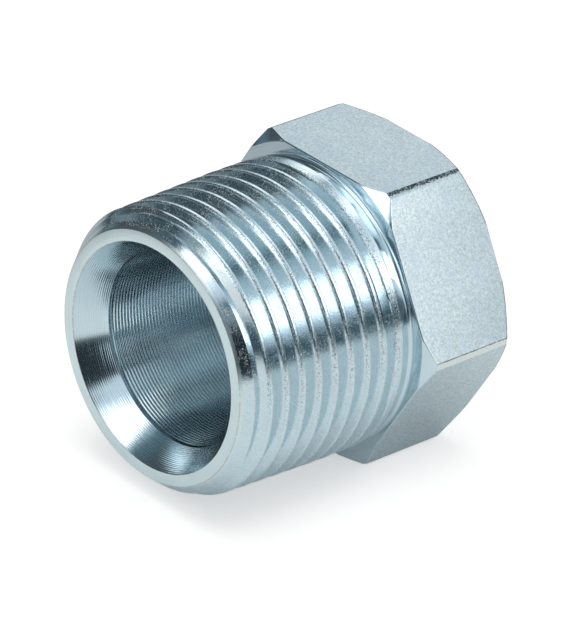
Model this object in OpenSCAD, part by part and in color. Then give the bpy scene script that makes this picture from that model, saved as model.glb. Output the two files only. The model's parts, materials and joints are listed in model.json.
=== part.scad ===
// Hex pipe plug, turned from one piece of hexagonal steel bar and zinc plated.
// It is drawn lying on one flat of its head: the threaded open end points to -Y, the
// head is at +Y and the bench is Z = 0. All lengths are in millimetres.

/* [Head] */
// Width across the flats of the hexagon, for a 1 1/16 in (27 mm) spanner
head_flats = 27; // [26:0.1:36]
// Diameter over the lightly rounded corners of the hexagon
head_corners = 30.8; // [30:0.1:41]
// Length of the hexagonal head
head_length = 10.4; // [7:0.2:16]
// Diameter of the flat shoulder, where the front chamfer of the head starts
shoulder_d = 28.6; // [27.4:0.2:30]
// Diameter of the flat back of the head, where the rear chamfer starts
back_d = 27.4; // [24:0.2:29.6]
// Angle between each chamfer of the head and the flat face next to it
head_chamfer_angle = 36; // [20:1:45]

/* [Pipe thread] */
// Distance from one thread to the next, 14 threads to the inch
thread_pitch = 1.8143; // [1.6:0.0001:2.2]
// Diameter over the crests at the open end
crest_d = 25.96; // [25.5:0.01:26.6]
// Diameter that the shank was turned to, which cuts the last crests down
blank_d = 26.75; // [26.2:0.05:28]
// Growth in diameter per millimetre towards the head, 1 in 16
thread_taper = 0.0625; // [0:0.0025:0.1]
// Depth of the thread from crest to root
thread_depth = 1.15; // [0.8:0.01:1.3]
// Width of the flat land on each crest
crest_land = 0.36; // [0.2:0.02:0.6]
// Width of the flat at each root
root_land = 0.12; // [0.06:0.02:0.4]
// Distance from the open end to the shoulder of the head
shank_length = 18.5; // [16:0.1:26]
// Distance from the open end at which the roots start to rise
runout_start = 15.2; // [11:0.1:16]
// Distance from the open end at which the roots have reached the crests
runout_end = 17.2; // [16.2:0.1:17.6]
// Distance from the open end to the middle of the crest on the side where the thread starts
first_crest = 0.54; // [0.45:0.01:0.6]

/* [Shank ends] */
// Diameter of the flat rim at the open end
rim_d = 23.1; // [22.4:0.1:23.6]
// Angle of the lead-in chamfer to the axis
lead_angle = 38; // [20:1:45]
// Diameter of the plain neck under the shoulder
neck_d = 25.8; // [25:0.1:26.6]
// Size of the fillet between the neck and the shoulder
neck_fillet = 0.4; // [0.1:0.1:0.8]

/* [Bore] */
// Diameter of the blind bore
bore_d = 17.7; // [10:0.1:20]
// Depth of the full bore from the open end
bore_depth = 19.5; // [10:0.5:23]
// Full angle of the bottom that the drill leaves
drill_angle = 140; // [118:1:170]
// Diameter of the cone seat at the open end
seat_d = 20.9; // [20.2:0.1:22.4]
// Full angle of the cone seat
seat_angle = 60; // [40:1:120]

/* [Hidden] */
steel = [0.74, 0.81, 0.84];
overlap = 0.2;
steps_per_turn = 24;
overall_length = shank_length + head_length;
chamfer_slope = tan(head_chamfer_angle);
lead_slope = tan(lead_angle);
flank_run = (thread_pitch - crest_land - root_land) / 2;
flank_slope = flank_run / thread_depth;
root_d = crest_d - 2 * thread_depth;
lead_meets_root = (root_d - rim_d) / 2 / (lead_slope - thread_taper / 2);
lead_meets_crest = (crest_d - rim_d) / 2 / (lead_slope - thread_taper / 2);
neck_start = runout_end + crest_radius(runout_end) - neck_d / 2;
seat_depth = (seat_d - bore_d) / 2 / tan(seat_angle / 2);
drill_depth = bore_d / 2 / tan(drill_angle / 2);
// Clearance by which the ridge stays under the shank's skin where it is cut away
sunk = 0.06;
// Depth to which the ridge's foot goes into the shank, so that the two are one solid
root_overlap = 0.5;
// Depth by which the ridge has gone down at its end, over its last quarter of a turn
end_drop = 0.7;
first_station = -round(steps_per_turn * (first_crest + flank_run / 2) / thread_pitch);
last_station = floor(steps_per_turn * (runout_end - first_crest) / thread_pitch);
stations = last_station - first_station + 1;
fade_stations = steps_per_turn / 4;

function crest_radius(y) = min(crest_d + y * thread_taper, blank_d) / 2;
function root_radius(y) = (root_d + y * thread_taper) / 2;
function lead_radius(y) = rim_d / 2 + y * lead_slope;

// How far up each flank the ridge reaches before the lead-in chamfer or the turned
// diameter of the shank cuts it off, from 0 to 1
function blank_cut(foot) = (blank_d / 2 - root_radius(foot)) / thread_depth;
function lead_cut(foot, lean) =
    (lead_radius(foot) - root_radius(foot)) / (thread_depth - lean * flank_run * lead_slope);
function flank_part(foot, lean) = max(0, min(1, blank_cut(foot), lead_cut(foot, lean)));

// Radius of the top of the ridge, held just inside the shank where the ridge is cut away
function ridge_top(y, fade) = let (free = min(crest_radius(y), lead_radius(y)))
    (lead_radius(y) < root_radius(y) ? free - sunk : free) - fade;

// Section of the ridge, as distance along the axis and radius, from front foot to rear foot
function ridge_section(middle, fade) = let (
    front_foot = middle - crest_land / 2 - flank_run,
    rear_foot = middle + crest_land / 2 + flank_run,
    front_part = flank_part(front_foot, 1),
    rear_part = flank_part(rear_foot, -1),
    front_top = max(2 * sunk, front_foot + front_part * flank_run),
    rear_top = max(4 * sunk, rear_foot - rear_part * flank_run),
    bend = max(front_top + sunk / 2, min(rear_top - sunk / 2, lead_meets_crest)))
    [
        [max(sunk, front_foot - root_overlap * flank_slope), root_radius(front_foot) - root_overlap],
        [front_top, min(ridge_top(front_top, fade), root_radius(front_top) + front_part * thread_depth)],
        [bend, ridge_top(bend, fade)],
        [rear_top, min(ridge_top(rear_top, fade), root_radius(rear_top) + rear_part * thread_depth)],
        [rear_foot + root_overlap * flank_slope, root_radius(rear_foot) - root_overlap]
    ];

function fade_at(i) = end_drop * max(0, i - (last_station - fade_stations)) / fade_stations;

// Point j of the section at station i, wound round the axis
function ridge_point(i, j) = let (
    turn = i / steps_per_turn,
    angle = 360 * turn,
    p = ridge_section(first_crest + thread_pitch * turn, fade_at(i))[j])
    [p[1] * cos(angle), p[1] * sin(angle), p[0]];

// The thread itself: one ridge wound as a right-hand helix
module thread_ridge() {
    sides = 5;
    points = [for (i = [first_station:last_station]) for (j = [0:sides - 1]) ridge_point(i, j)];
    walls = [for (i = [0:stations - 2]) for (j = [0:sides - 1])
        let (a = i * sides + j, b = i * sides + (j + 1) % sides)
        for (face = [[a, b, b + sides], [a, b + sides, a + sides]]) face];
    start = [for (j = [1:sides - 2]) [0, j + 1, j]];
    last = (stations - 1) * sides;
    end = [for (j = [1:sides - 2]) [last, last + j, last + j + 1]];
    polyhedron(points = points, faces = concat(walls, start, end), convexity = 10);
}

// Threaded shank without its ridge: chamfer, root cone, run-out, neck and fillet
module shank() {
    rotate_extrude($fn = 180)
        polygon([
            [0, 0],
            [rim_d / 2, 0],
            [root_radius(lead_meets_root), lead_meets_root],
            [root_radius(runout_start), runout_start],
            [crest_radius(runout_end), runout_end],
            [neck_d / 2, neck_start],
            [neck_d / 2, shank_length - neck_fillet],
            [neck_d / 2 + neck_fillet, shank_length],
            [neck_d / 2 + neck_fillet, shank_length + overlap],
            [0, shank_length + overlap]
        ]);
}

// Hexagonal head with both chamfers and the rounded corners
module head() {
    corner_rise = (head_corners - shoulder_d) / 2 * chamfer_slope;
    back_drop = (head_corners - back_d) / 2 * chamfer_slope;
    intersection() {
        translate([0, 0, shank_length])
            cylinder(d = head_flats / cos(30), h = head_length, $fn = 6);
        rotate_extrude($fn = 180)
            polygon([
                [0, shank_length],
                [shoulder_d / 2, shank_length],
                [head_corners / 2, shank_length + corner_rise],
                [head_corners / 2, overall_length - back_drop],
                [back_d / 2, overall_length],
                [0, overall_length]
            ]);
    }
}

// Blind bore with its cone seat and its drilled bottom
module bore() {
    rotate_extrude($fn = 180)
        polygon([
            [0, -overlap],
            [seat_d / 2 + overlap * tan(seat_angle / 2), -overlap],
            [bore_d / 2, seat_depth],
            [bore_d / 2, bore_depth],
            [0, bore_depth + drill_depth]
        ]);
}

module plug() {
    color(steel)
        translate([0, -overall_length / 2, head_flats / 2])
            rotate([-90, 0, 0])
                union() {
                    difference() {
                        union() {
                            shank();
                            head();
                        }
                        bore();
                    }
                    thread_ridge();
                }
}

plug();
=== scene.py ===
"""Looks of the hex pipe plug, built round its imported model.

The plug is one turned part, so its skin is one closed surface: a profile carried round
the axis, whose rows follow the thread's helix where the thread is cut. Lengths are in
metres, the plug's axis runs along Y with the open end at -Y, and the bench is Z = 0.
"""

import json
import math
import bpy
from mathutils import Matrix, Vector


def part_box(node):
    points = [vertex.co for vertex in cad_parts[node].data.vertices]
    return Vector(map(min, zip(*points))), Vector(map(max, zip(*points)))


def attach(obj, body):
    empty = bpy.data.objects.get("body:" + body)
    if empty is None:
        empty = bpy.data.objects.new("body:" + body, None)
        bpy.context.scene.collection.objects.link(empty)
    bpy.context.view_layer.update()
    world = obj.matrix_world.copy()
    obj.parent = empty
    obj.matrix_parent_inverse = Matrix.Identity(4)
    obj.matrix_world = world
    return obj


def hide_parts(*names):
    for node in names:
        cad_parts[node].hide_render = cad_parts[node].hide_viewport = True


bl_info = {
    "name": "Hex pipe plug",
    "version": (1, 0, 0),
    "blender": (4, 5, 0),
    "location": "View3D > Sidebar > Pipe plug",
    "description": "Dresses a packed hex pipe plug with its thread, tool marks, plate and studio",
    "category": "Add Mesh",
}

import bmesh
import bpy
import numpy as np
from bpy.props import FloatProperty, FloatVectorProperty, IntProperty, PointerProperty

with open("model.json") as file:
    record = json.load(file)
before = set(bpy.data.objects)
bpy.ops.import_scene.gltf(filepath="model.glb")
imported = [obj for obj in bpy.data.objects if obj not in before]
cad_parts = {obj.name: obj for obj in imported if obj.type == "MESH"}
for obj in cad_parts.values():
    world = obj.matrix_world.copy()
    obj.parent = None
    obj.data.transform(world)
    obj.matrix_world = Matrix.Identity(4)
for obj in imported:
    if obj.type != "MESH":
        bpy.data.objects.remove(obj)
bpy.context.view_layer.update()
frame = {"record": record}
LOW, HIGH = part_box("plug")
MOUNTS = {mount["name"]: mount for mount in frame["record"]["mounts"]}

MM = 0.001
MM_PER_METRE = 1000
TURN = 2 * math.pi
DEGREES = 360 / TURN
OPEN_END = LOW[1]
BACK = HIGH[1]
AXIS_HEIGHT = (LOW[2] + HIGH[2]) / 2
HALF_FLAT = (HIGH[2] - LOW[2]) / 2
CORNER_RADIUS = (HIGH[0] - LOW[0]) / 2

# The finishes, in the order of the skin's material slots
BORED, SEAT, TURNED, THREAD, SHOULDER, FLAT, CORNER, REAR = range(8)
# What the thread's rows tell its finish at each point: the distance along the axis from the
# nearest crest, the depth below the uncut shank, and a value above 0 behind the crest
MARKS = ("from_crest", "below", "side")
# Points in each rounded edge of a profile, and columns over each corner of the hexagon
EDGE_POINTS, CORNER_COLUMNS = 4, 5
# Rows over a crest's rounded edge, down a flank, across one mark of the boring tool and
# over the neck's quarter round
CREST_ROWS, FLANK_ROWS, MARK_ROWS, NECK_ROWS = 5, 8, 6, 7
# Points that stand nearer to each other than this become one
WELD = 2e-7
# Sharper edges than this stay sharp when the skin is shaded smooth
SHARP_ANGLE = math.radians(24)


def length(name, text, value):
    """A length property, with its default given in millimetres."""
    return FloatProperty(
        name=name, description=text, default=value * MM, min=0, unit="LENGTH", precision=5
    )


def angle(name, text, value):
    """An angle property, with its default given in degrees."""
    return FloatProperty(
        name=name, description=text, default=math.radians(value), subtype="ANGLE"
    )


def colour(name, text, value):
    """A colour property in linear light."""
    return FloatVectorProperty(
        name=name, description=text, subtype="COLOR", size=3, default=value, min=0, max=1
    )


def place(name, text, value):
    """A place in the scene, in metres."""
    return FloatVectorProperty(
        name=name,
        description=text,
        subtype="TRANSLATION",
        size=3,
        default=value,
        precision=5,
    )


class PlugSizes(bpy.types.PropertyGroup):
    """Sizes of the turned body that its box and its record do not give."""

    shank: length("Shank", "From the open end to the shoulder", 18.5)
    shoulder: length("Shoulder", "Radius at which the head's front chamfer starts", 14.3)
    back: length("Back", "Radius at which the head's rear chamfer starts", 13.7)
    head_chamfer: angle("Head chamfer", "Angle of the head's chamfers to the shoulder", 36)
    edge_break: length("Edge break", "Size of the head's broken edges", 0.08)
    mouth_break: length("Mouth break", "Size of the broken edges of seat and rim", 0.05)
    neck: length("Neck", "Radius of the plain neck under the shoulder", 12.9)
    neck_fillet: length("Neck fillet", "Radius between neck and shoulder", 0.4)
    rim: length("Rim", "Outer radius of the flat rim", 11.55)
    lead_angle: angle("Lead-in", "Angle of the lead-in chamfer to the axis", 38)
    seat: length("Seat", "Radius of the cone seat's mouth", 10.45)
    seat_angle: angle("Seat angle", "Angle of the seat to the axis", 30)
    bore_depth: length("Bore depth", "Depth of the full bore", 19.5)
    drill_angle: angle("Drill angle", "Angle of the bore's bottom to the axis", 70)
    bottom_round: length("Bottom round", "Size of the rounding at the bore's bottom", 0.3)
    columns: IntProperty(
        name="Columns",
        description="Columns of faces on each side of the head",
        default=24,
        min=12,
    )


class ThreadSizes(bpy.types.PropertyGroup):
    """Sizes of the cut thread and of the marks that the boring tool leaves."""

    pitch: length("Pitch", "From one thread to the next", 1.8143)
    crest: length("Crest", "Radius over the crests at the open end", 12.98)
    blank: length("Blank", "Radius that the shank was turned to", 13.375)
    taper: FloatProperty(
        name="Taper", description="Growth in radius over length", default=1 / 32
    )
    depth: length("Depth", "From crest to root", 1.15)
    crest_land: length("Crest land", "Width of the flat on each crest", 0.36)
    root_land: length("Root land", "Width of the flat at each root", 0.12)
    front_edge: length("Front edge", "Reach of the rounding in front of each crest", 0.10)
    rear_edge: length("Rear edge", "Reach of the rounding behind each crest", 0.03)
    first_crest: length("First crest", "Open end to the crest at the angle 0", 0.54)
    first_row: length("First row", "Open end to the first row along the thread", 0.25)
    runout_start: length("Run-out", "Where the tool starts to leave the work", 15.2)
    runout_end: length("Run-out end", "Where the tool has left the work", 17.3)
    overrun: length("Overrun", "Length by which the rows pass the run-out's end", 0.1)
    neck_blend: length("Neck blend", "Length over which the rows meet the neck", 0.3)
    feed: length("Feed", "Distance between the boring tool's marks", 0.353)
    tool_nose: length("Tool nose", "Radius of the boring tool's tip", 0.25)
    marks_start: length("Marks start", "Seat to the boring tool's first mark", 0.1)
    marks_end: length("Marks end", "Boring tool's last mark to the bottom", 0.5)


class ZincLook(bpy.types.PropertyGroup):
    """Colours of the zinc plate."""

    bright: colour("Bright plate", "Colour of the turned faces", (0.645, 0.745, 0.785))
    matte: colour("Matte plate", "Colour of the hexagon's flats", (0.62, 0.69, 0.70))
    # Also painted light on the hexagon's lower corner faces
    burr_and_sheen: colour("Burr", "Colour of the fine lines of burr", (0.84, 0.82, 0.78))
    # Also painted shade on the thread's torn strip and on the hexagon's corner faces
    stain_and_shade: colour("Stain", "Colour of the pits in the plate", (0.10, 0.13, 0.14))
    cloud: colour("Cloud", "Colour of the bluish clouds on the flats", (0.60, 0.66, 0.76))
    brown: colour("Brown", "Colour of the thin lines along edges", (0.42, 0.38, 0.34))


class StudioSetup(bpy.types.PropertyGroup):
    """The camera and the light."""

    lens: FloatProperty(name="Lens", description="Focal length in millimetres", default=332.7)
    eye: place("Eye", "Place of the camera", (0.32181, -0.30697, 0.25876))
    turn: FloatVectorProperty(
        name="Turn",
        description="Turn of the camera",
        subtype="EULER",
        size=3,
        default=[math.radians(a) for a in (61.025, -3.905, 48.413)],
    )
    lamp: FloatProperty(name="Lamp", description="Power of the lamp in watts", default=1.3)
    lamp_size: FloatProperty(
        name="Lamp size", description="Width of the lamp", default=0.45, unit="LENGTH"
    )
    lamp_place: place("Lamp place", "Place of the lamp overhead", (0.05, -0.05, 0.6))
    sky: FloatProperty(name="Sky", description="Light from all round on the floor", default=0.5)


def settings():
    """The scene's property groups."""
    scene = bpy.context.scene
    return scene.plug_sizes, scene.plug_thread, scene.plug_zinc, scene.plug_studio


def placed(context, name, data):
    """A new object in the scene."""
    thing = bpy.data.objects.new(name, data)
    context.collection.objects.link(thing)
    return thing


# The plug's surface


def column_angles(half_band, per_side):
    """Angle of each column: some over every rounded corner, even steps between corners."""
    band = np.linspace(-half_band, half_band, CORNER_COLUMNS)
    steps = per_side - CORNER_COLUMNS + 2
    side = np.linspace(half_band, TURN / 6 - half_band, steps)[1:-1]
    return (np.concatenate([band, side]) + np.arange(6)[:, None] * TURN / 6).ravel()


def from_corner(angles):
    """Signed angle from the nearest corner of the hexagon."""
    return (angles + TURN / 12) % (TURN / 6) - TURN / 12


class Lathe:
    """A surface of revolution in the making: rows of points along the profile, with one
    point for each column angle, gathered in blocks that are joined end to end."""

    def __init__(self, angles):
        self.angles = angles
        self.radius, self.along, self.marks = [], [], []
        self.faces, self.finish = [], []
        self.rows = 0

    def add(self, radius, along, finish, shift=0, marks=None):
        """Adds rows of radius and place along the axis. Past the last column, row k carries
        on as row k + shift, so that rows can follow a helix; rows off the end are held."""
        rows, count = radius.shape
        inner = np.arange(rows - 1)[:, None] + self.rows
        column = np.arange(count - 1)[None, :]
        near = inner * count + column
        quad = (near, near + 1, near + count + 1, near + count)
        quads = np.stack([corner.ravel() for corner in quad], axis=1)
        step = np.arange(-max(shift, 0), rows - 1 + max(-shift, 0))
        held = [np.clip(step + k, 0, rows - 1) + self.rows for k in (0, shift, shift + 1, 1)]
        edge = [count - 1, 0, 0, count - 1]
        seam = np.stack([row * count + column for row, column in zip(held, edge)], axis=1)
        finish = np.broadcast_to(finish, (rows - 1, count - 1)).ravel()
        self.faces += [quads, seam]
        self.finish += [finish, np.full(len(seam), finish[-1])]
        self.radius.append(radius)
        self.along.append(along)
        self.marks.append(np.zeros((rows, count, len(MARKS))) if marks is None else marks)
        self.rows += rows

    def add_profile(self, profile, finish):
        """Adds a profile given as points of (radius, along) over the columns."""
        self.add(profile[:, 0], profile[:, 1], finish)

    def mesh(self, name):
        """Point = (radius cos angle, along, -radius sin angle), moved to the plug's place.
        Rows that meet are merged."""
        radius, along = np.concatenate(self.radius), np.concatenate(self.along)
        points = np.stack(
            [
                radius * np.cos(self.angles),
                OPEN_END + along,
                AXIS_HEIGHT - radius * np.sin(self.angles),
            ],
            axis=-1,
        ).reshape(-1, 3)
        marks = np.concatenate(self.marks).reshape(-1, len(MARKS)).astype(np.float32)
        mesh = bpy.data.meshes.new(name)
        mesh.from_pydata(points.tolist(), [], np.concatenate(self.faces).tolist())
        finish = np.concatenate(self.finish).astype(np.int32)
        mesh.polygons.foreach_set("material_index", finish)
        mesh.polygons.foreach_set("use_smooth", np.ones(len(finish), dtype=bool))
        for index, layer in enumerate(MARKS):
            attribute = mesh.attributes.new(layer, "FLOAT", "POINT")
            attribute.data.foreach_set("value", marks[:, index].copy())
        work = bmesh.new()
        work.from_mesh(mesh)
        bmesh.ops.remove_doubles(work, verts=work.verts, dist=WELD)
        bmesh.ops.recalc_face_normals(work, faces=work.faces)
        work.to_mesh(mesh)
        work.free()
        mesh.set_sharp_from_angle(angle=SHARP_ANGLE)
        return mesh


def helix_rows(start, end, pitch, phases, angles, offset):
    """Places along the axis of rows that climb one pitch a turn, held between start and
    end. The rows of each pitch stand at the phases, counted from the offset."""
    first = math.floor((start - offset) / pitch) - 2
    last = math.ceil((end - offset) / pitch) + 1
    base = (offset + np.arange(first, last + 1)[:, None] * pitch + phases[None, :]).ravel()
    rise = pitch * angles / TURN
    low = np.searchsorted(base, start - rise[-1], side="right") - 1
    high = np.searchsorted(base, end - rise[0])
    return np.clip(base[low : high + 1, None] + rise[None, :], start, end)


def smooth_step(low, high, x):
    """0 below low, 1 above high and a smooth S between."""
    t = np.clip((x - low) / (high - low), 0, 1)
    return t * t * (3 - 2 * t)


def rounded(points, size):
    """Rounds the corners of a profile: each inner point of the polyline becomes the curve
    (1-t)^2 a + 2 t (1-t) corner + t^2 b. The ends a and b lie on either side of it, at most
    size away and short of the middle of the line."""
    short_of_middle, tiny = 0.45, 1e-9
    out = [points[0]]
    for before, corner, after in zip(points, points[1:], points[2:]):
        ends = []
        for other in (before, after):
            reach = np.linalg.norm(other - corner, axis=0)
            part = np.minimum(size, reach * short_of_middle) / np.maximum(reach, tiny)
            ends.append(corner + (other - corner) * part)
        for t in np.linspace(0, 1, EDGE_POINTS):
            out.append((1 - t) ** 2 * ends[0] + 2 * t * (1 - t) * corner + t * t * ends[1])
    out.append(points[-1])
    return np.array(out)


def flank_rows(half_land, foot, reach):
    """Distances from a crest's middle of the rows down one flank, which stand close
    together over its rounded edge."""
    edge = half_land + reach * np.linspace(-1, 1, CREST_ROWS)
    return np.concatenate([edge, np.linspace(half_land + reach, foot, FLANK_ROWS)[1:]])


def thread_rows(size, thread, angles, start, end):
    """Radius of the threaded shank: the lowest of the cone of the crests, the lead-in
    chamfer and the V groove, which rises out of the work over the run-out. At a distance x
    beyond a crest's edge the groove is slope x deep, and within the rounding's reach w it
    is slope (x + w)^2 / 4w deep."""
    half_land = thread.crest_land / 2
    foot = thread.pitch / 2 - thread.root_land / 2
    rear = flank_rows(half_land, foot, thread.rear_edge)
    front = flank_rows(half_land, foot, thread.front_edge)
    phases = np.concatenate([[0], rear, [thread.pitch / 2], thread.pitch - front[::-1]])
    along = helix_rows(start, end, thread.pitch, phases, angles, thread.first_crest)
    from_crest = along - thread.first_crest - thread.pitch * angles / TURN
    side = np.sin(TURN * from_crest / thread.pitch)
    from_crest = np.abs((from_crest + thread.pitch / 2) % thread.pitch - thread.pitch / 2)
    cone = np.minimum(thread.crest + along * thread.taper, thread.blank)
    slope = thread.depth / (foot - half_land)
    reach = np.where(side > 0, thread.rear_edge, thread.front_edge)
    beyond = from_crest - half_land
    rounding = (beyond + reach) ** 2 / (4 * reach)
    beyond = np.where(np.abs(beyond) < reach, rounding, np.maximum(beyond, 0))
    groove = cone - np.minimum(beyond * slope, thread.depth)
    lift = thread.depth * smooth_step(thread.runout_start, thread.runout_end, along)
    groove = np.minimum(groove + lift, cone)
    lead = size.rim + along * math.tan(size.lead_angle)
    radius = np.minimum(groove, lead)
    below = np.minimum(lead, cone) - radius
    neck = smooth_step(end - thread.neck_blend, end, along)
    radius = radius * (1 - neck) + size.neck * neck
    return radius, along, len(phases), np.stack([from_crest, below, side], axis=-1)


def bore_rows(thread, angles, radius, start, end):
    """Radius of the bore: the tool's nose leaves one hollow a turn, which falls short of
    its deepest line by distance squared / (2 nose radius)."""
    phases = np.arange(MARK_ROWS) * thread.feed / MARK_ROWS
    along = helix_rows(start, end, thread.feed, phases, angles, start)
    phase = (along - start - thread.feed * angles / TURN) / thread.feed % 1
    edge = ((phase - 0.5) * thread.feed) ** 2 / (2 * thread.tool_nose)
    fade = smooth_step(start, start + thread.feed, along)
    fade = fade * (1 - smooth_step(end - thread.feed, end, along))
    return radius - edge * fade, along, len(phases)


class PLUG_OT_skin(bpy.types.Operator):
    """Build the plug's skin with its thread, bore, seat and hexagonal head"""

    bl_idname = "plug.skin"
    bl_label = "Plug"

    def execute(self, context):
        size, thread, _, _ = settings()
        half_band = TURN / 12 - math.acos(HALF_FLAT / CORNER_RADIUS)
        self.angles = column_angles(half_band, size.columns)
        lathe = Lathe(self.angles)
        wall_start = self.add_bore(lathe, size, thread)
        thread_end = thread.runout_end + thread.overrun
        self.add_mouth(lathe, size, wall_start, thread.first_row)
        radius, along, shift, marks = thread_rows(
            size, thread, self.angles, thread.first_row, thread_end
        )
        lathe.add(radius, along, THREAD, shift, marks)
        self.add_neck(lathe, size, thread_end)
        self.add_head(lathe, size, half_band)
        mesh = lathe.mesh("plug_skin")
        if len(mesh.polygons) == 0:
            raise RuntimeError("the plug's skin came out empty")
        for material in zinc_finishes():
            mesh.materials.append(material)
        skin = placed(context, "plug_skin", mesh)
        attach(skin, "root")
        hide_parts("plug")
        return {"FINISHED"}

    def ring(self, radius, along):
        """One point of a profile, over all the columns."""
        count = len(self.angles)
        return np.array([np.broadcast_to(v, count) for v in (radius, along)], dtype=float)

    def add_bore(self, lathe, size, thread):
        """Bore, walked from the middle of its bottom out to the seat."""
        bore = MOUNTS["bore"]["dims"]["r_mm"] * MM
        drill = bore / math.tan(size.drill_angle)
        wall_start = (size.seat - bore) / math.tan(size.seat_angle) + thread.marks_start
        wall_end = size.bore_depth - thread.marks_end
        bottom = [
            self.ring(bore * (1 - part), size.bore_depth + drill * part)
            for part in (1, 0.6, 0.3, 0)
        ]
        bottom = rounded(bottom + [self.ring(bore, wall_end)], size.bottom_round)
        lathe.add_profile(bottom, BORED)
        radius, along, shift = bore_rows(thread, self.angles, bore, wall_start, wall_end)
        lathe.add(radius[::-1], along[::-1], BORED, -shift)
        return wall_start

    def add_mouth(self, lathe, size, wall_start, thread_start):
        """Cone seat, flat rim and the first stretch of the lead-in chamfer."""
        bore = MOUNTS["bore"]["dims"]["r_mm"] * MM
        seat_depth = (size.seat - bore) / math.tan(size.seat_angle)
        mouth = rounded(
            [
                self.ring(bore, wall_start),
                self.ring(bore, seat_depth),
                self.ring(size.seat, 0),
                self.ring(size.rim, 0),
                self.ring(size.rim + thread_start * math.tan(size.lead_angle), thread_start),
            ],
            size.mouth_break,
        )
        # The middle of the second rounded edge, where the seat meets the rim
        rim_row = 1 + EDGE_POINTS + EDGE_POINTS // 2
        lathe.add_profile(mouth[: rim_row + 1], SEAT)
        lathe.add_profile(mouth[rim_row:], TURNED)

    def add_neck(self, lathe, size, start):
        """Plain neck and the quarter round under the shoulder."""
        turn = np.linspace(0, TURN / 4, NECK_ROWS)
        radius = size.neck + size.neck_fillet * (1 - np.cos(turn))
        along = size.shank - size.neck_fillet * (1 - np.sin(turn))
        points = [self.ring(size.neck, start)]
        points += [self.ring(r, a) for r, a in zip(radius, along)]
        lathe.add_profile(np.array(points), SHOULDER)

    def add_head(self, lathe, size, half_band):
        """Head: in each column the hexagon's radius is flat / cos(angle from the flat's
        middle), cut at the corners; both chamfers are cones that meet it."""
        off = from_corner(self.angles)
        hexagon = np.minimum(HALF_FLAT / np.cos(TURN / 12 - np.abs(off)), CORNER_RADIUS)
        slope = math.tan(size.head_chamfer)
        overall = BACK - OPEN_END
        front = size.shank + np.maximum((hexagon - size.shoulder) * slope, size.edge_break)
        rear = overall - np.maximum((hexagon - size.back) * slope, size.edge_break)
        head = rounded(
            [
                self.ring(size.neck + size.neck_fillet, size.shank),
                self.ring(np.minimum(size.shoulder, hexagon - size.edge_break), size.shank),
                self.ring(hexagon, front),
                self.ring(hexagon, rear),
                self.ring(np.minimum(size.back, hexagon - size.edge_break), overall),
                self.ring(0, overall),
            ],
            size.edge_break * 0.7,
        )
        # The middles of the rounded edges in front of and behind the hexagon's sides
        side_start = 1 + EDGE_POINTS + EDGE_POINTS // 2
        side_end = side_start + EDGE_POINTS
        lathe.add_profile(head[: side_start + 1], SHOULDER)
        middle = self.angles[:-1] + np.diff(self.angles) / 2
        on_corner = np.abs(from_corner(middle)) < half_band
        sides = np.where(on_corner, CORNER, FLAT)[None, :]
        lathe.add_profile(head[side_start : side_end + 1], sides)
        lathe.add_profile(head[side_end:], REAR)


# Materials


class Value:
    """An output socket that ordinary arithmetic turns into Math nodes."""

    def __init__(self, nodes, socket):
        self.nodes, self.socket = nodes, socket

    def __add__(self, other):
        return self.nodes.math("ADD", self, other)

    def __radd__(self, other):
        return self.nodes.math("ADD", other, self)

    def __sub__(self, other):
        return self.nodes.math("SUBTRACT", self, other)

    def __rsub__(self, other):
        return self.nodes.math("SUBTRACT", other, self)

    def __mul__(self, other):
        return self.nodes.math("MULTIPLY", self, other)

    def __rmul__(self, other):
        return self.nodes.math("MULTIPLY", other, self)

    def __truediv__(self, other):
        return self.nodes.math("DIVIDE", self, other)

    def __abs__(self):
        return self.nodes.math("ABSOLUTE", self)


class Nodes:
    """Adds nodes to one node tree."""

    def __init__(self, tree):
        self.tree = tree
        tree.nodes.clear()

    def add(self, kind, settings=None, inputs=None, output=0):
        """Adds a node, sets its settings first and then its sockets, and gives an output."""
        node = self.tree.nodes.new(kind)
        for name, value in (settings or {}).items():
            setattr(node, name, value)
        for name, value in (inputs or {}).items():
            if isinstance(value, Value):
                self.tree.links.new(value.socket, node.inputs[name])
            else:
                node.inputs[name].default_value = value
        return Value(self, node.outputs[output]) if node.outputs else None

    def math(self, operation, *values):
        return self.add("ShaderNodeMath", {"operation": operation}, dict(enumerate(values)))

    def combine(self, x, y, z):
        return self.add("ShaderNodeCombineXYZ", None, {"X": x, "Y": y, "Z": z})

    def step(self, low, high, value):
        """0 below low, 1 above high and a smooth S between."""
        return self.add(
            "ShaderNodeMapRange",
            {"interpolation_type": "SMOOTHSTEP"},
            {"Value": value, "From Min": low, "From Max": high},
        )

    def mix(self, part, first, second):
        """The first colour turned into the second by a part from 0 to 1."""
        return self.add("ShaderNodeMix", {"data_type": "RGBA"}, {0: part, 6: first, 7: second}, 2)

    def noise(self, vector, detail, rough):
        inputs = {"Vector": vector, "Scale": 1.0, "Detail": detail, "Roughness": rough}
        return self.add("ShaderNodeTexNoise", None, inputs)

    def axes(self, kind):
        """The three parts of a texture coordinate, such as Object."""
        point = self.add("ShaderNodeTexCoord", output=kind)
        split = self.add("ShaderNodeSeparateXYZ", None, {0: point})
        return [Value(self, socket) for socket in split.socket.node.outputs]

    def distance(self, across, along):
        """Distance from the middle of two axes."""
        return self.math("SQRT", across * across + along * along)


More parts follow.
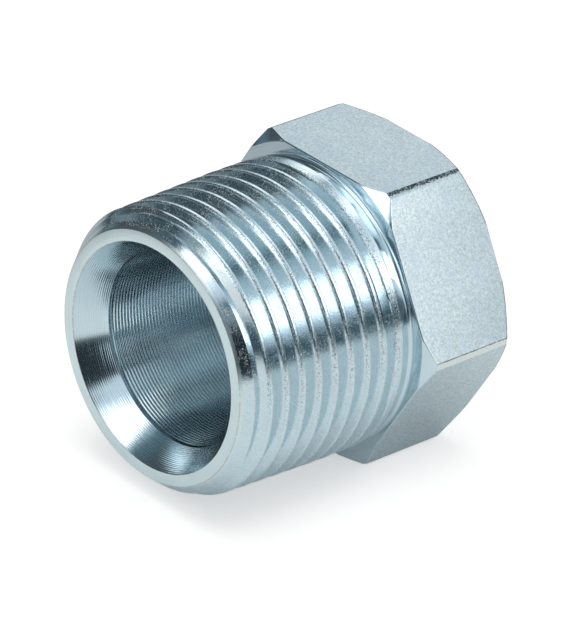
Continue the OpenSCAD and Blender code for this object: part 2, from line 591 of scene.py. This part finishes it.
class Finish(Nodes):
    """A finish of the plate. Its patterns read the plug's own place, in millimetres."""

    def __init__(self, name):
        self.material = bpy.data.materials.new(name)
        self.material.use_nodes = True
        super().__init__(self.material.node_tree)
        x, y, z = self.axes("Object")
        self.x, self.y = x * MM_PER_METRE, y * MM_PER_METRE
        self.z = z * MM_PER_METRE - AXIS_HEIGHT / MM
        self.radius = self.distance(self.x, self.z)
        # Runs on over cylinders, cones and flat faces alike
        self.along = self.y + self.radius
        self.depth = self.y - OPEN_END / MM

    def attribute(self, name):
        return self.add("ShaderNodeAttribute", {"attribute_name": name}, output=2)

    def grain(self, size, detail=2.0, rough=0.5):
        """Even grain of a size in millimetres."""
        point = self.combine(self.x / size, self.y / size, self.z / size)
        return self.noise(point, detail, rough)

    def spots(self, size, low, high, detail=2.0, rough=0.5):
        """Spots of a size in millimetres: 1 where the grain passes high, 0 below low."""
        return self.step(low, high, self.grain(size, detail, rough))

    def rings(self, width, stretch=12.0, detail=2.0):
        """Marks of a width in millimetres that run round the axis."""
        point = self.combine(self.x / stretch, self.along / width, self.z / stretch)
        return self.noise(point, detail, 0.6)

    def line(self, distance, width, broken):
        """1 within a width on either side of an edge, in millimetres. A part of it is
        broken, from 0 to 1."""
        near = 1 - self.step(width * 0.5, width, abs(distance))
        return near * self.spots(0.4, broken - 0.12, broken + 0.12)

    def paint(self, shade, part, tint, factor=1.0):
        """The shade turned by a part from 0 to 1 into a colour, made lighter or darker."""
        return self.mix(part, shade, tinted(tint, factor))

    def bump(self, height, depth, normal=None):
        """Bump of a height from 0 to 1 over a depth in millimetres."""
        inputs = {"Height": height, "Distance": depth * MM, "Strength": 1.0}
        if normal is not None:
            inputs["Normal"] = normal
        return self.add("ShaderNodeBump", None, inputs)

    def done(self, tint, roughness, normal, metallic=1.0):
        inputs = {
            "Base Color": tint,
            "Metallic": metallic,
            "Roughness": roughness,
            "Normal": normal,
        }
        shader = self.add("ShaderNodeBsdfPrincipled", None, inputs)
        self.add("ShaderNodeOutputMaterial", None, {"Surface": shader})
        return self.material


def tinted(tint, factor=1.0):
    """A colour made lighter or darker."""
    return tuple(min(1.0, channel * factor) for channel in tint) + (1.0,)


def turned_finish(
    name, tint, ring_width, ring_depth, rough, grain_depth=0.002, edges=(), feed=0
):
    """Turned metal: rings, grain in the plate, a slow change of tint and faint brown lines
    at the radii of its edges. A feed in millimetres gives one even ring for each turn."""
    finish = Finish(name)
    zinc = settings()[2]
    rings = finish.rings(ring_width)
    if feed:
        wave = finish.math("SINE", finish.along * (TURN / feed) + rings * 10)
        rings = rings * 0.4 + (wave + 1) * 0.3
    grain = finish.grain(0.16, 3.0, 0.6)
    shade = finish.mix(finish.grain(3.0), tinted(tint, 0.93), tinted(tint, 1.07))
    shade = finish.paint(shade, finish.step(0.55, 0.75, rings) * 0.25, tint, 0.7)
    for edge in edges:
        line = finish.line(finish.radius - edge / MM, 0.07, 0.4)
        shade = finish.paint(shade, line * 0.5, zinc.brown)
    normal = finish.bump(rings, ring_depth)
    normal = finish.bump(grain, grain_depth, normal)
    return finish.done(shade, rough + 0.06 * grain, normal)


def thread_finish(zinc, thread):
    """Cut thread: bright flanks with streaks and dull pale specks, a torn strip in front of each
    crest with painted shade on top, and a thin brown and a pale line of burr behind it."""
    finish = Finish("thread_zinc")
    from_crest = finish.attribute("from_crest") / MM
    below = finish.attribute("below") / MM
    behind = finish.step(-0.2, 0.2, finish.attribute("side"))
    half_land = thread.crest_land / 2 / MM
    wobble = finish.grain(0.45, 3.0, 0.6)
    patch = finish.spots(1.1, 0.42, 0.60)
    specks = finish.spots(0.10, 0.58, 0.63, 2.0, 0.6)
    pits = finish.spots(0.2, 0.62, 0.70, 2.0, 0.7)
    # The lead-in chamfer leaves no full crest below this radius
    chamfered = thread.crest / MM - 0.18
    full = finish.step(chamfered, chamfered + 0.10, finish.radius)
    crest = full * (1 - finish.step(0.03, 0.08, below))
    ragged = (finish.grain(0.20, 3.0, 0.7) - 0.5) * 0.7
    torn = (1 - behind) * full * (1 - finish.step(0.12, 0.24, below + ragged))
    # The torn strip's dark specks are a stain, and painted shade makes them much stronger on the
    # upper side
    dark = torn * finish.spots(0.14, 0.50, 0.60, 2.0, 0.7)
    dark = dark * (0.2 + 0.8 * finish.step(-3, 3, finish.z))
    brown = 1 - finish.step(0.02, 0.05, abs(from_crest - half_land + 0.07))
    brown = brown * crest * behind * finish.step(0.35, 0.50, wobble)
    burr_and_sheen = 1 - finish.step(0.02, 0.05, abs(below - 0.05))
    burr_and_sheen = burr_and_sheen * behind * finish.step(0.36, 0.50, wobble)
    specks = specks * (0.35 + 0.55 * patch + 0.1 * torn)
    dull = finish.math("MAXIMUM", specks, burr_and_sheen * 0.8)
    shade = finish.mix(finish.grain(0.9), tinted(zinc.bright, 0.94), tinted(zinc.bright, 1.06))
    shade = finish.paint(shade, crest * 0.5, zinc.bright, 1.15)
    shade = finish.paint(shade, pits * (0.12 + 0.25 * patch), zinc.stain_and_shade, 1.5)
    # Stain in the torn strip, with painted shade making it darker on the upper side
    shade = finish.paint(shade, dark * 0.75, zinc.stain_and_shade, 1.3)
    shade = finish.paint(shade, brown * 0.6, zinc.brown)
    shade = finish.paint(shade, dull * 0.6, zinc.burr_and_sheen)
    normal = finish.bump(finish.rings(0.16, 7.0, 3.0), 0.005)
    normal = finish.bump(wobble, 0.004, normal)
    fine = finish.grain(0.08, 2.0, 0.6)
    normal = finish.bump(fine, 0.0025 + 0.002 * patch + 0.002 * torn, normal)
    rough = 0.07 + 0.03 * patch + 0.10 * crest + 0.3 * dull
    return finish.done(shade, rough, normal, 1 - 0.75 * dull)


def mottled(finish, zinc):
    """Colour, height and clouds of the matte mottle on drawn bar."""
    coarse = finish.grain(0.28, 3.0, 0.6)
    fine = finish.grain(0.11, 2.0, 0.6)
    cloud = finish.grain(1.6, 3.0)
    height = coarse * 0.45 + fine * 0.55
    mottle = finish.step(0.34, 0.66, height)
    shade = finish.mix(mottle, tinted(zinc.matte, 0.76), tinted(zinc.matte, 1.20))
    shade = finish.paint(shade, finish.step(0.45, 0.7, cloud) * 0.3, zinc.cloud)
    shade = finish.paint(shade, finish.spots(0.2, 0.68, 0.76, 1.5) * 0.4, zinc.stain_and_shade, 1.8)
    return shade, height, cloud


def flat_finish(size, zinc):
    """Matte drawn bar under the plate, with thin lines where the chamfers cut it."""
    finish = Finish("matte_zinc")
    shade, height, cloud = mottled(finish, zinc)
    slope = math.tan(size.head_chamfer)
    front = finish.depth - size.shank / MM - (finish.radius - size.shoulder / MM) * slope
    rear = (BACK - OPEN_END) / MM - finish.depth - (finish.radius - size.back / MM) * slope
    shade = finish.paint(shade, finish.line(rear - 0.06, 0.07, 0.36) * 0.85, zinc.brown, 0.6)
    shade = finish.paint(shade, finish.line(front - 0.06, 0.07, 0.2), zinc.burr_and_sheen, 1.1)
    shade = finish.paint(shade, finish.line(front - 0.02, 0.05, 0.52) * 0.8, zinc.brown, 0.6)
    normal = finish.bump(height, 0.016)
    return finish.done(shade, 0.38 + 0.12 * cloud, normal)


def corner_finish(zinc):
    """The hexagon's narrow corner faces: torn and in painted shade on the two upper ones, pale
    with painted light and a line of painted shade along the upper side on the others."""
    finish = Finish("corner_zinc")
    shade, _, _ = mottled(finish, zinc)
    torn = finish.grain(0.13, 3.0, 0.7)
    ragged = (torn - 0.5) * 3.5
    turn = finish.math("ARCTAN2", finish.z, abs(finish.x)) * DEGREES
    # The corners take painted shade above these angles from the horizontal, in degrees
    upper_edge, side_edge = 59.75, 0.9
    upper = finish.step(8, 10, finish.z)
    dark = upper * finish.step(-0.15, 0.15, turn - upper_edge + ragged)
    line = (1 - upper) * finish.step(-0.1, 0.1, turn - side_edge + ragged * 0.5)
    dark = finish.math("MAXIMUM", dark, line * finish.step(-2, 2, finish.z + 4))
    dark = dark * (1 - 0.7 * finish.spots(0.2, 0.50, 0.62, 3.0, 0.7))
    # Painted light on the lower corner faces, then painted shade on the upper ones and in the line
    shade = finish.paint(shade, (1 - upper) * 0.6, zinc.burr_and_sheen, 1.1)
    shade = finish.paint(shade, dark, zinc.stain_and_shade, 0.45)
    normal = finish.bump(torn, 0.012)
    return finish.done(shade, 0.40, normal)


def zinc_finishes():
    """The materials, in the order of the finishes at the top."""
    size, thread, zinc, _ = settings()
    return [
        turned_finish(
            "bored_zinc",
            zinc.bright,
            ring_width=0.8,
            ring_depth=0.004,
            rough=0.08,
            grain_depth=0.0004,
        ),
        turned_finish(
            "seat_zinc",
            zinc.bright,
            ring_width=0.16,
            ring_depth=0.006,
            rough=0.12,
            grain_depth=0.0006,
            edges=(size.seat,),
            feed=0.07,
        ),
        turned_finish(
            "rim_zinc",
            tinted(zinc.matte, 1.13)[:3],
            ring_width=0.25,
            ring_depth=0.003,
            rough=0.22,
            grain_depth=0.003,
            edges=(size.seat, size.rim),
        ),
        thread_finish(zinc, thread),
        turned_finish(
            "shoulder_zinc",
            zinc.bright,
            ring_width=0.22,
            ring_depth=0.003,
            rough=0.10,
            grain_depth=0.001,
        ),
        flat_finish(size, zinc),
        corner_finish(zinc),
        turned_finish("rear_zinc", zinc.bright, ring_width=0.30, ring_depth=0.004, rough=0.26),
    ]


# Studio

# Each card is a bright box or a dark flag that the metal mirrors: azimuth and height of
# its middle, half its width and half its height, soft edge, all in degrees, then its light
# and its tint.
WHITE = (0.97, 0.99, 1.0)
BLUE = (0.68, 0.90, 1.0)
TEAL = (0.50, 0.82, 1.0)
GREY = (0.70, 0.88, 1.0)
CARDS = (
    ("horizon", 180, 3, 181, 4, 3, 0.24, TEAL),
    ("left back horizon", -126, 2, 12, 9, 4, 0.34, BLUE),
    ("back horizon", 118, 4, 24, 9, 3, 0.16, TEAL),
    ("overhead", 0, 76, 181, 18, 4, 0.70, BLUE),
    ("top box", 2, 66.5, 42, 12.5, 3, 2.0, WHITE),
    ("top flag", 152, 67, 16, 5, 3, 0.20, TEAL),
    ("back box", -175, 51, 12, 6, 3, 1.8, WHITE),
    ("back left box", -137, 28, 13, 7, 4, 1.4, WHITE),
    ("back left flag", -147, 42, 5, 5, 3, 0.35, BLUE),
    ("right box", 119, 33, 18, 12.5, 2, 2.8, WHITE),
    ("front wall", 0, 11, 11, 7.5, 2, 0.95, WHITE),
    ("front box", -14, 28, 12, 11, 3, 2.4, WHITE),
    ("front top box", -3, 30, 9, 8, 3, 2.2, WHITE),
    ("left front haze", -30, 17, 11, 8, 4, 0.42, BLUE),
    ("left haze", -64, 6, 11, 10, 5, 0.28, BLUE),
    ("left flag", -47, 14, 14, 8, 4, 0.10, TEAL),
    ("far left flag", -88, 30, 22, 26, 4, 0.10, GREY),
    ("upper left flag", -60, 57, 20, 7, 4, 0.22, TEAL),
    ("high left flag", -56, 38, 13, 16, 4, 0.14, TEAL),
    ("front right flag", 27, 28, 13, 16, 4, 0.20, TEAL),
    ("right flag", 57, 18, 15, 20, 1, 0.035, TEAL),
)


# What the metal mirrors around the plug
SKY = (0.76, 0.87, 0.95, 1)
BENCH = (0.05, 0.08, 0.10, 1)
PAPER = (0.82, 0.90, 0.92, 1)
# Painted shade on the paper to the left of the plug
PAPER_SHADE_LEFT = (0.42, 0.46, 0.48, 1)
# Painted shadow on the paper under the plug's shank and, darker, under its head
PAPER_SHADOW_UNDER_SHANK = (0.78, 0.87, 0.90, 1)
PAPER_SHADOW_UNDER_HEAD = (0.58, 0.66, 0.70, 1)
# What the camera sees of the paper: its colour, which takes light and shade, and its glow.
# The two make white together, and close to the plug the first has the larger part.
SEEN_PAPER, SEEN_GLOW = (0.28, 0.28, 0.28, 1), 0.84
SEEN_CLOSE, CLOSE_GLOW = (0.76, 0.74, 0.73, 1), 0.50
# The paper's glow for all other rays
PAPER_GLOW = 0.14
# Half the floor's width, in metres
FLOOR_HALF = 1.0


class PLUG_OT_studio(bpy.types.Operator):
    """Set the floor, the light all round, the lamp and the camera"""

    bl_idname = "plug.studio"
    bl_label = "Studio"

    def execute(self, context):
        studio = settings()[3]
        context.scene.view_settings.view_transform = "Standard"
        self.add_world(context.scene, studio)
        self.add_floor(context)
        self.add_lamp(context, studio)
        self.add_camera(context, studio)
        return {"FINISHED"}

    def add_lamp(self, context, studio):
        """Lamp overhead, which only the floor and dull spots show."""
        lamp = bpy.data.lights.new("lamp_overhead", "AREA")
        lamp.shape, lamp.size, lamp.energy = "DISK", studio.lamp_size, studio.lamp
        holder = placed(context, "lamp_overhead", lamp)
        holder.location = studio.lamp_place
        holder.visible_glossy = False
        holder.visible_camera = False

    def add_camera(self, context, studio):
        """Camera at the photograph's place."""
        camera = bpy.data.cameras.new("camera")
        camera.lens, camera.sensor_width, camera.clip_start = studio.lens, 36, 0.01
        holder = placed(context, "camera", camera)
        holder.location = studio.eye
        holder.rotation_euler = studio.turn
        context.scene.camera = holder

    def add_world(self, scene, studio):
        """Sky: white to the camera, even light to the floor, boxes and flags to the metal."""
        world = bpy.data.worlds.new("studio")
        world.use_nodes = True
        scene.world = world
        nodes = Nodes(world.node_tree)
        x, y, z = nodes.axes("Generated")
        height = nodes.math("ARCSINE", z) * DEGREES
        azimuth = nodes.math("ARCTAN2", x, y * -1)
        sky = nodes.mix(nodes.step(-2, 6, height), BENCH, SKY)
        for _, middle, level, wide, tall, soft, strength, tint in CARDS:
            off = azimuth - math.radians(middle)
            off = nodes.math("ARCTAN2", nodes.math("SINE", off), nodes.math("COSINE", off))
            across = 1 - nodes.step(wide - soft, wide + soft, abs(off) * DEGREES)
            up = 1 - nodes.step(tall - soft, tall + soft, abs(height - level))
            light = tuple(strength * channel for channel in tint) + (1.0,)
            sky = nodes.mix(across * up, sky, light)
        even = (studio.sky, studio.sky, studio.sky, 1)
        sky = nodes.mix(nodes.add("ShaderNodeLightPath", output="Is Glossy Ray"), even, sky)
        seen = nodes.add("ShaderNodeLightPath", output="Is Camera Ray")
        sky = nodes.mix(seen, sky, (1, 1, 1, 1))
        sky = nodes.add("ShaderNodeBackground", None, {"Color": sky})
        nodes.add("ShaderNodeOutputWorld", None, {"Surface": sky})

    def add_floor(self, context):
        """Pale floor. The metal mirrors it as a sheet of white paper on a dark bench."""
        mesh = bpy.data.meshes.new("floor")
        corners = [(x, y, 0) for x, y in ((-1, -1), (1, -1), (1, 1), (-1, 1))]
        mesh.from_pydata((np.array(corners) * FLOOR_HALF).tolist(), [], [(0, 1, 2, 3)])
        floor = placed(context, "floor", mesh)
        material = bpy.data.materials.new("floor_paper")
        material.use_nodes = True
        self.shade_floor(Nodes(material.node_tree))
        mesh.materials.append(material)

    def shade_floor(self, nodes):
        """The paper's colours, painted shade and shadow and soft edges, at places in metres."""
        x, y, _ = nodes.axes("Object")
        seen = nodes.add("ShaderNodeLightPath", output="Is Camera Ray")
        mirrored = nodes.add("ShaderNodeLightPath", output="Is Glossy Ray")
        left = nodes.step(0.08, 0.30, x * -1)
        right = nodes.step(0.22, 0.40, x)
        beyond = nodes.step(0.11, 0.15, abs(y - 0.02))
        outside = nodes.math("MAXIMUM", nodes.math("MAXIMUM", left, right), beyond)
        # An oval of painted shadow round the plug, from 1 at its edge to 2 where it has faded out
        near = 1 - nodes.step(1.0, 2.0, nodes.distance(x / 0.016, y / 0.015))
        # Painted shadow on the paper that the metal mirrors: light under the shank, darker under
        # the head
        under = nodes.mix(nodes.step(0.0, 0.006, y), PAPER_SHADOW_UNDER_SHANK, PAPER_SHADOW_UNDER_HEAD)
        # Painted shade on the paper to the left of the plug, which the camera does not see
        paper = nodes.mix(nodes.step(0.03, 0.05, x * -1), PAPER, PAPER_SHADE_LEFT)
        paper = nodes.mix(near, paper, under)
        # A strip along the plug's underside, which fades out over 9 mm
        aside = nodes.math("MAXIMUM", abs(x) - 0.006, 0)
        before = nodes.math("MAXIMUM", abs(y - 0.002) - 0.0125, 0)
        close = 1 - nodes.step(0, 0.009, nodes.distance(aside, before))
        paper = nodes.mix(seen, paper, nodes.mix(close, SEEN_PAPER, SEEN_CLOSE))
        paper = nodes.add("ShaderNodeBsdfDiffuse", None, {"Color": paper})
        seen_glow = SEEN_GLOW - PAPER_GLOW - (SEEN_GLOW - CLOSE_GLOW) * close
        strength = PAPER_GLOW + seen * seen_glow
        glow = nodes.add("ShaderNodeEmission", None, {"Color": (1, 1, 1, 1), "Strength": strength})
        paper = nodes.add("ShaderNodeAddShader", None, {0: paper, 1: glow})
        bench = nodes.add("ShaderNodeEmission", None, {"Color": BENCH})
        part = mirrored * outside
        shader = nodes.add("ShaderNodeMixShader", None, {0: part, 1: paper, 2: bench})
        nodes.add("ShaderNodeOutputMaterial", None, {"Surface": shader})


class PLUG_PT_panel(bpy.types.Panel):
    """The plug's operators and settings"""

    bl_idname = "PLUG_PT_panel"
    bl_label = "Pipe plug"
    bl_space_type = "VIEW_3D"
    bl_region_type = "UI"
    bl_category = "Pipe plug"

    def draw(self, context):
        for operator in OPERATORS:
            self.layout.operator(operator.bl_idname)
        for group in settings():
            box = self.layout.box()
            for name in group.__annotations__:
                box.prop(group, name)


OPERATORS = (PLUG_OT_skin, PLUG_OT_studio)
GROUPS = {
    "plug_sizes": PlugSizes,
    "plug_thread": ThreadSizes,
    "plug_zinc": ZincLook,
    "plug_studio": StudioSetup,
}
CLASSES = (*GROUPS.values(), *OPERATORS, PLUG_PT_panel)


def register():
    for cls in CLASSES:
        bpy.utils.register_class(cls)
    for name, group in GROUPS.items():
        setattr(bpy.types.Scene, name, PointerProperty(type=group))


def unregister():
    for name in GROUPS:
        delattr(bpy.types.Scene, name)
    for cls in reversed(CLASSES):
        bpy.utils.unregister_class(cls)


def main():
    register()
    bpy.ops.plug.skin()
    bpy.ops.plug.studio()


if __name__ == "__main__":
    main()
